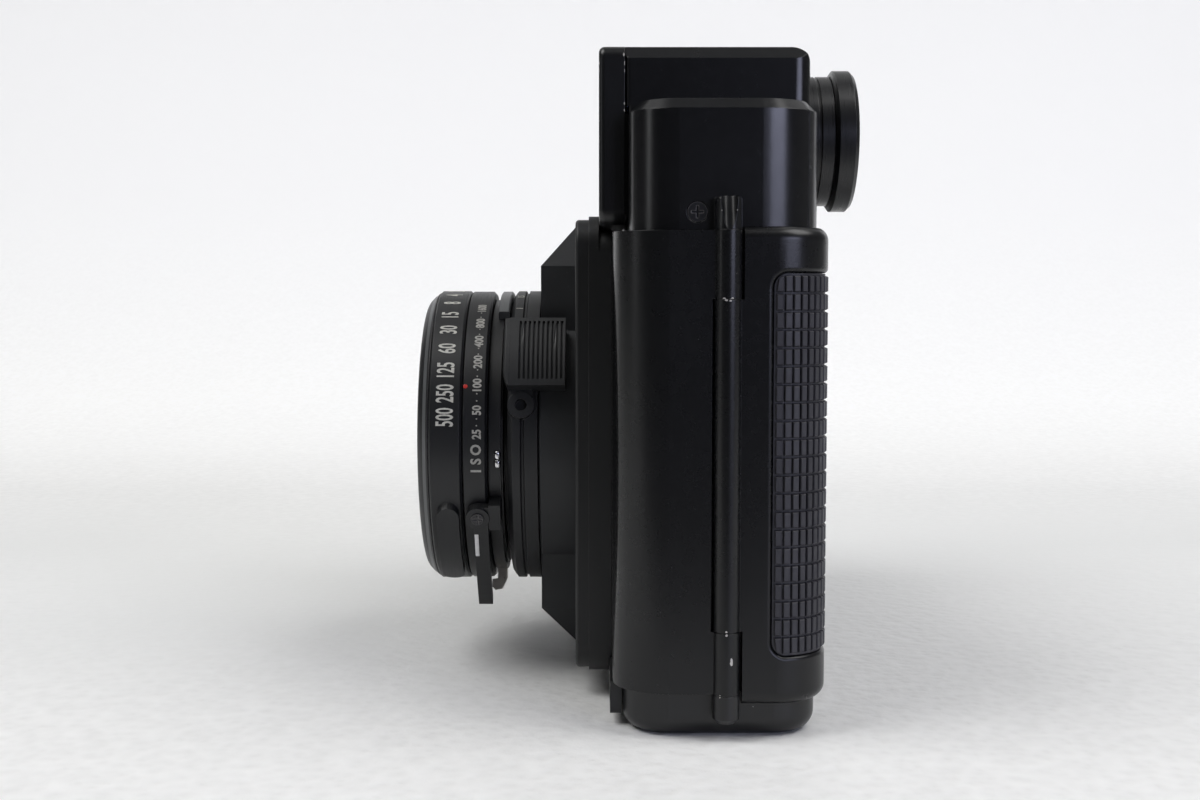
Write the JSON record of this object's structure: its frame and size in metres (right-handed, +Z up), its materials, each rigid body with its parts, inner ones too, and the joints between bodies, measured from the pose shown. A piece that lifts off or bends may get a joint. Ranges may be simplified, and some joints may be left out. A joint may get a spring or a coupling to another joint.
{
  "type": "medium format film camera",
  "caption": "Compact medium format roll film camera with a fixed wide leaf shutter lens, side hinged rear door, bright line finder and thumb advance lever.",
  "frame": {"origin": "mouth of the tripod socket in the flat bottom face, under the lens axis", "axes": "+Z up, the lens points to -Y, +X to the side of the door hinge (the user's left)"},
  "size_m": [0.1538, 0.0792, 0.1146],
  "materials": {
    "chassis_metal": "matt black die casting",
    "black_inner": "matt black, light trapping",
    "seal_foam": "felt strip",
    "cover_black": "satin black",
    "cover_gloss": "semi gloss black",
    "rubber": "textured rubber",
    "brass": "turned",
    "dark_screw": "blackened",
    "steel": "satin",
    "chrome": "polished",
    "optic": "coated",
    "window": "clear",
    "frosted": "frosted",
    "lens_black": "matt black anodised",
    "lens_plastic": "matt black",
    "blade_metal": "dark spring steel"
  },
  "bodies": {
    "body": {"chassis": "chassis_metal", "light_baffle": "black_inner", "light_seal": "seal_foam", "front_cover": "cover_black", "grip_rubber": "rubber", "bottom_cover": "cover_gloss", "tripod_socket": "brass", "lower_front_plate": "cover_black", "top_cover": "cover_gloss", "cover_screws": "dark_screw", "strap_lugs": "chrome", "viewfinder_housing": "cover_gloss", "finder_bezel": "cover_gloss", "finder_window": "window", "frame_line_window": "frosted", "finder_tube": "black_inner", "eyepiece_mount": "cover_gloss", "eyepiece_ring": "cover_gloss", "eyepiece_glass": "optic", "hot_shoe": "steel", "shoe_contact": "brass", "lens_panel": "cover_black", "lens_block": "cover_black", "helicoid_tube": "lens_black", "sync_socket": "chrome", "counter_window": "window", "hinge_pin": "steel", "release_spring": "steel"},
    "lens_unit": {"lens_barrel": "lens_black", "filter_ring": "lens_black", "name_ring": "lens_black", "front_glass": "optic", "shutter_case": "lens_black", "rear_glass": "optic"},
    "focus": {"focus_ring": "lens_plastic"},
    "film_speed": {"iso_ring": "lens_black"},
    "shutter_speed": {"speed_ring": "lens_black"},
    "aperture": {"aperture_lever": "lens_black"},
    "takeup": {"takeup_spool": "lens_plastic", "takeup_shaft": "steel"},
    "supply_knob": {"supply_stud": "dark_screw"},
    "takeup_knob": {"takeup_stud": "dark_screw"},
    "roller_supply": {"guide_roller_supply": "steel"},
    "roller_takeup": {"guide_roller_takeup": "steel"},
    "lever": {"advance_lever": "dark_screw", "lever_cap": "dark_screw"},
    "counter": {"counter_dial": "lens_plastic"},
    "release": {"release_button": "chrome"},
    "collar": {"release_collar": "dark_screw"},
    "battery": {"battery_cap": "dark_screw"},
    "door": {"rear_door": "cover_black", "door_pad": "rubber", "pressure_springs": "steel"},
    "plate": {"pressure_plate": "blade_metal"},
    "latch": {"door_latch": "dark_screw"},
    "blade_1": {"shutter_blade_1": "blade_metal"},
    "blade_2": {"shutter_blade_2": "blade_metal"},
    "blade_3": {"shutter_blade_3": "blade_metal"},
    "blade_4": {"shutter_blade_4": "blade_metal"},
    "blade_5": {"shutter_blade_5": "blade_metal"}
  },
  "joints": [
    {"name": "door_hinge", "type": "hinge", "parent": "body", "child": "door", "pos_m": [0.0634, 0, 0.045], "axis": [0, 0, -1], "range_deg": [0, 110]},
    {"name": "pressure_plate_press", "type": "slide", "parent": "door", "child": "plate", "axis": [0, 1, 0], "range_m": [0, 0.0008], "stiffness_N_per_m": 600, "springref_m": -0.001},
    {"name": "latch_slide", "type": "slide", "parent": "door", "child": "latch", "axis": [0, 0, 1], "range_m": [0, 0.004]},
    {"name": "focus_turn", "type": "hinge", "parent": "body", "child": "focus", "pos_m": [0, -0.035, 0.0446], "axis": [0, 1, 0], "range_deg": [0, 68.6]},
    {"name": "lens_extension", "type": "slide", "parent": "body", "child": "lens_unit", "axis": [0, -1, 0], "range_m": [0, 0.0021]},
    {"name": "shutter_speed_turn", "type": "hinge", "parent": "lens_unit", "child": "shutter_speed", "pos_m": [0, -0.049, 0.0446], "axis": [0, 1, 0], "range_deg": [-42, 42]},
    {"name": "film_speed_turn", "type": "hinge", "parent": "lens_unit", "child": "film_speed", "pos_m": [0, -0.044, 0.0446], "axis": [0, 1, 0], "range_deg": [-30, 30]},
    {"name": "aperture_turn", "type": "hinge", "parent": "lens_unit", "child": "aperture", "pos_m": [0, -0.04, 0.0446], "axis": [0, 1, 0], "range_deg": [-35, 25]},
    {"name": "release_press", "type": "slide", "parent": "body", "child": "release", "axis": [0, 0, -1], "range_m": [0, 0.0025], "stiffness_N_per_m": 400, "springref_m": -0.001, "deforming": ["release_spring"]},
    {"name": "blade_1_swing", "type": "hinge", "parent": "lens_unit", "child": "blade_1", "pos_m": [0.00985, -0.0437, 0.04286], "axis": [0, 1, 0], "range_deg": [0, 36]},
    {"name": "blade_2_swing", "type": "hinge", "parent": "lens_unit", "child": "blade_2", "pos_m": [0.00469, -0.0437, 0.05343], "axis": [0, 1, 0], "range_deg": [0, 36]},
    {"name": "blade_3_swing", "type": "hinge", "parent": "lens_unit", "child": "blade_3", "pos_m": [-0.00695, -0.0437, 0.05179], "axis": [0, 1, 0], "range_deg": [0, 36]},
    {"name": "blade_4_swing", "type": "hinge", "parent": "lens_unit", "child": "blade_4", "pos_m": [-0.00899, -0.0437, 0.04022], "axis": [0, 1, 0], "range_deg": [0, 36]},
    {"name": "blade_5_swing", "type": "hinge", "parent": "lens_unit", "child": "blade_5", "pos_m": [0.00139, -0.0437, 0.0347], "axis": [0, 1, 0], "range_deg": [0, 36]},
    {"name": "collar_turn", "type": "hinge", "parent": "body", "child": "collar", "pos_m": [-0.028, -0.006, 0.1005], "axis": [0, 0, 1], "range_deg": [0, 60]},
    {"name": "advance_swing", "type": "hinge", "parent": "body", "child": "lever", "pos_m": [-0.052, -0.0006, 0.102], "axis": [0, 0, 1], "range_deg": [0, 130], "stiffness_Nm_per_rad": 0.02, "springref_deg": -8.59},
    {"name": "takeup_turn", "type": "hinge", "parent": "body", "child": "takeup", "pos_m": [-0.052, -0.0006, 0.045], "axis": [0, 0, 1], "range_deg": [0, 270]},
    {"name": "counter_turn", "type": "hinge", "parent": "body", "child": "counter", "pos_m": [-0.031, 0.0072, 0.095], "axis": [0, 0, 1], "range_deg": [0, 20]},
    {"name": "supply_knob_pull", "type": "slide", "parent": "body", "child": "supply_knob", "axis": [0, 0, -1], "range_m": [0, 0.0075], "stiffness_N_per_m": 150, "springref_m": -0.002},
    {"name": "takeup_knob_pull", "type": "slide", "parent": "body", "child": "takeup_knob", "axis": [0, 0, -1], "range_m": [0, 0.0075], "stiffness_N_per_m": 150, "springref_m": -0.002},
    {"name": "supply_roller_spin", "type": "hinge", "parent": "body", "child": "roller_supply", "pos_m": [0.0292, 0.0046, 0.045], "axis": [0, 0, 1], "continuous": true},
    {"name": "takeup_roller_spin", "type": "hinge", "parent": "body", "child": "roller_takeup", "pos_m": [-0.0292, 0.0046, 0.045], "axis": [0, 0, 1], "continuous": true},
    {"name": "battery_cap_turn", "type": "hinge", "parent": "body", "child": "battery", "pos_m": [-0.069, 0, 0.002], "axis": [0, 0, 1], "range_deg": [0, 60]}
  ],
  "couplings": [
    {"joint": "blade_1_swing", "follows": "release_press", "rad_per_m": 244.35},
    {"joint": "blade_2_swing", "follows": "release_press", "rad_per_m": 244.35},
    {"joint": "blade_3_swing", "follows": "release_press", "rad_per_m": 244.35},
    {"joint": "blade_4_swing", "follows": "release_press", "rad_per_m": 244.35},
    {"joint": "blade_5_swing", "follows": "release_press", "rad_per_m": 244.35},
    {"joint": "focus_turn", "follows": "lens_extension", "rad_per_m": 565},
    {"joint": "takeup_turn", "follows": "advance_swing", "ratio": 2},
    {"joint": "counter_turn", "follows": "advance_swing", "ratio": 0.14}
  ]
}
